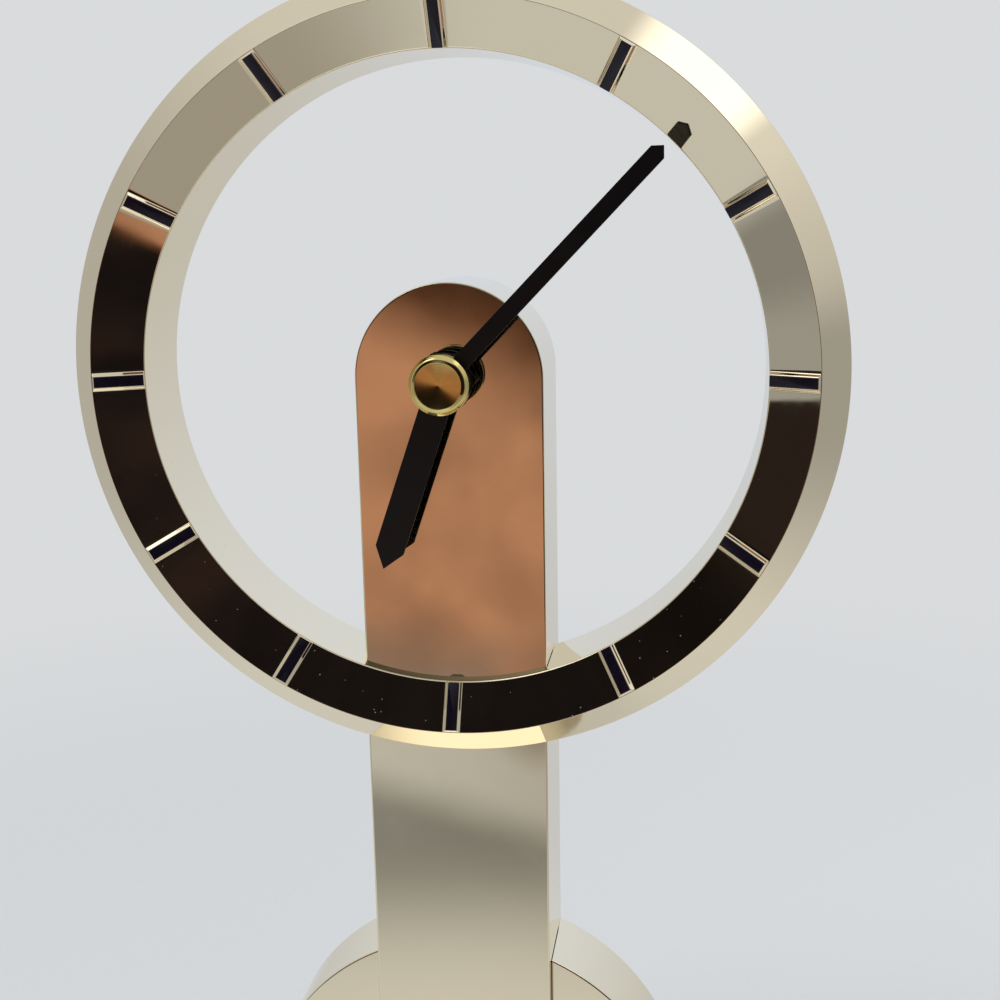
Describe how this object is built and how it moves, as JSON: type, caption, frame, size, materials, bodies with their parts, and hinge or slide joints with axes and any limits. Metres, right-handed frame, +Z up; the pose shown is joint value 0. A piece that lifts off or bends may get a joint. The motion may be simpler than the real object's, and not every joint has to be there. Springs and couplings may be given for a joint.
{
  "type": "desk pendulum clock",
  "caption": "Free-standing desk clock: an open dial ring on a round-topped pillar, with a pendulum bob swinging in the window of a lower ring on a plinth.",
  "frame": {"origin": "middle of the clock's footprint at the level that its rubber feet stand on", "axes": "+X to the right as seen from the front, -Y out of the dial towards the viewer, +Z up"},
  "size_m": [0.1408, 0.062, 0.2734],
  "materials": {
    "champagne_plating": "moulded plastic with a bright champagne plating",
    "black_plastic": "fine moulded texture",
    "black_film": "glossy black film on the tops of the hour bars",
    "black_lacquer": "satin black lacquer",
    "brass_plating": "turned and lacquered",
    "movement_plastic": "satin moulded",
    "gear_plastic": "natural moulded",
    "steel": "bright zinc plated",
    "weight_steel": "plain rolled",
    "rubber": "moulded",
    "board": "solder mask",
    "copper_winding": "enamelled wire",
    "magnet": "sintered",
    "cell_can": "plain grey sleeve"
  },
  "bodies": {
    "clock": {"dial_ring": "champagne_plating", "hour_markers": "black_film", "ring_back": "black_plastic", "ring_screws": "steel", "pillar_front": "champagne_plating", "pillar_back": "black_plastic", "pillar_screws": "steel", "ring_mount_screws": "steel", "lower_ring": "champagne_plating", "lower_ring_back": "black_plastic", "lower_ring_screws": "steel", "side_screws": "steel", "foot_screws": "steel", "plinth": "champagne_plating", "base_plate": "black_plastic", "plinth_weight": "weight_steel", "base_screws": "steel", "rubber_feet": "rubber", "battery_tray": "black_plastic", "battery_cell": "cell_can", "positive_contact": "steel", "negative_contact": "steel", "movement_front": "movement_plastic", "movement_back": "movement_plastic", "washer": "steel", "hex_nut": "steel", "stator": "steel", "motor_coil": "copper_winding", "circuit_board": "board", "clock_chip": "black_plastic", "quartz_crystal": "steel", "pendulum_bracket": "steel", "pivot_pin": "steel", "pendulum_coil": "copper_winding"},
    "minute": {"minute_hand": "black_lacquer", "hub_cap": "brass_plating", "minute_pipe": "brass_plating"},
    "hour": {"hour_hand": "black_lacquer", "hour_wheel": "gear_plastic"},
    "reverse": {"reverse_wheel": "gear_plastic"},
    "setting": {"setting_shaft": "gear_plastic", "setting_knob": "black_plastic"},
    "centre": {"centre_wheel": "gear_plastic"},
    "third": {"third_wheel": "gear_plastic"},
    "second": {"second_wheel": "gear_plastic"},
    "middle": {"middle_wheel": "gear_plastic"},
    "rotor_body": {"rotor": "gear_plastic", "rotor_magnet": "magnet"},
    "pendulum": {"pendulum_hanger": "black_plastic", "drive_magnet": "magnet", "pendulum_rod": "steel", "bob_front": "champagne_plating", "bob_back": "black_plastic"},
    "door": {"battery_door": "black_plastic"}
  },
  "joints": [
    {"name": "minute_turn", "type": "hinge", "parent": "clock", "child": "minute", "pos_m": [0, 0, 0.203], "axis": [0, 1, 0], "continuous": true},
    {"name": "hour_turn", "type": "hinge", "parent": "clock", "child": "hour", "pos_m": [0, 0, 0.203], "axis": [0, 1, 0], "continuous": true},
    {"name": "reverse_turn", "type": "hinge", "parent": "clock", "child": "reverse", "pos_m": [0, 0, 0.209], "axis": [0, 1, 0], "continuous": true},
    {"name": "setting_turn", "type": "hinge", "parent": "clock", "child": "setting", "pos_m": [0.0052, 0, 0.212], "axis": [0, 1, 0], "continuous": true},
    {"name": "second_turn", "type": "hinge", "parent": "clock", "child": "second", "pos_m": [0, 0, 0.1855], "axis": [0, 1, 0], "continuous": true},
    {"name": "third_turn", "type": "hinge", "parent": "clock", "child": "third", "pos_m": [0, 0, 0.194], "axis": [0, 1, 0], "continuous": true},
    {"name": "centre_turn", "type": "hinge", "parent": "clock", "child": "centre", "pos_m": [0, 0, 0.203], "axis": [0, 1, 0], "continuous": true},
    {"name": "middle_turn", "type": "hinge", "parent": "clock", "child": "middle", "pos_m": [0, 0, 0.1785], "axis": [0, 1, 0], "continuous": true},
    {"name": "rotor_turn", "type": "hinge", "parent": "clock", "child": "rotor_body", "pos_m": [0, 0, 0.1725], "axis": [0, 1, 0], "continuous": true},
    {"name": "pendulum_swing", "type": "hinge", "parent": "clock", "child": "pendulum", "pos_m": [0, -0.0066, 0.1565], "axis": [0, 1, 0], "range_deg": [-6, 6]},
    {"name": "battery_door_hinge", "type": "hinge", "parent": "clock", "child": "door", "pos_m": [0, 0.0087, 0.091], "axis": [-1, 0, 0], "range_deg": [0, 110]}
  ],
  "couplings": [
    {"joint": "hour_turn", "follows": "minute_turn", "ratio": 0.083333},
    {"joint": "reverse_turn", "follows": "minute_turn", "ratio": -0.33333},
    {"joint": "setting_turn", "follows": "minute_turn", "ratio": 1},
    {"joint": "third_turn", "follows": "second_turn", "ratio": -0.13333},
    {"joint": "centre_turn", "follows": "second_turn", "ratio": 0.016667},
    {"joint": "middle_turn", "follows": "second_turn", "ratio": -6},
    {"joint": "rotor_turn", "follows": "second_turn", "ratio": 30}
  ]
}
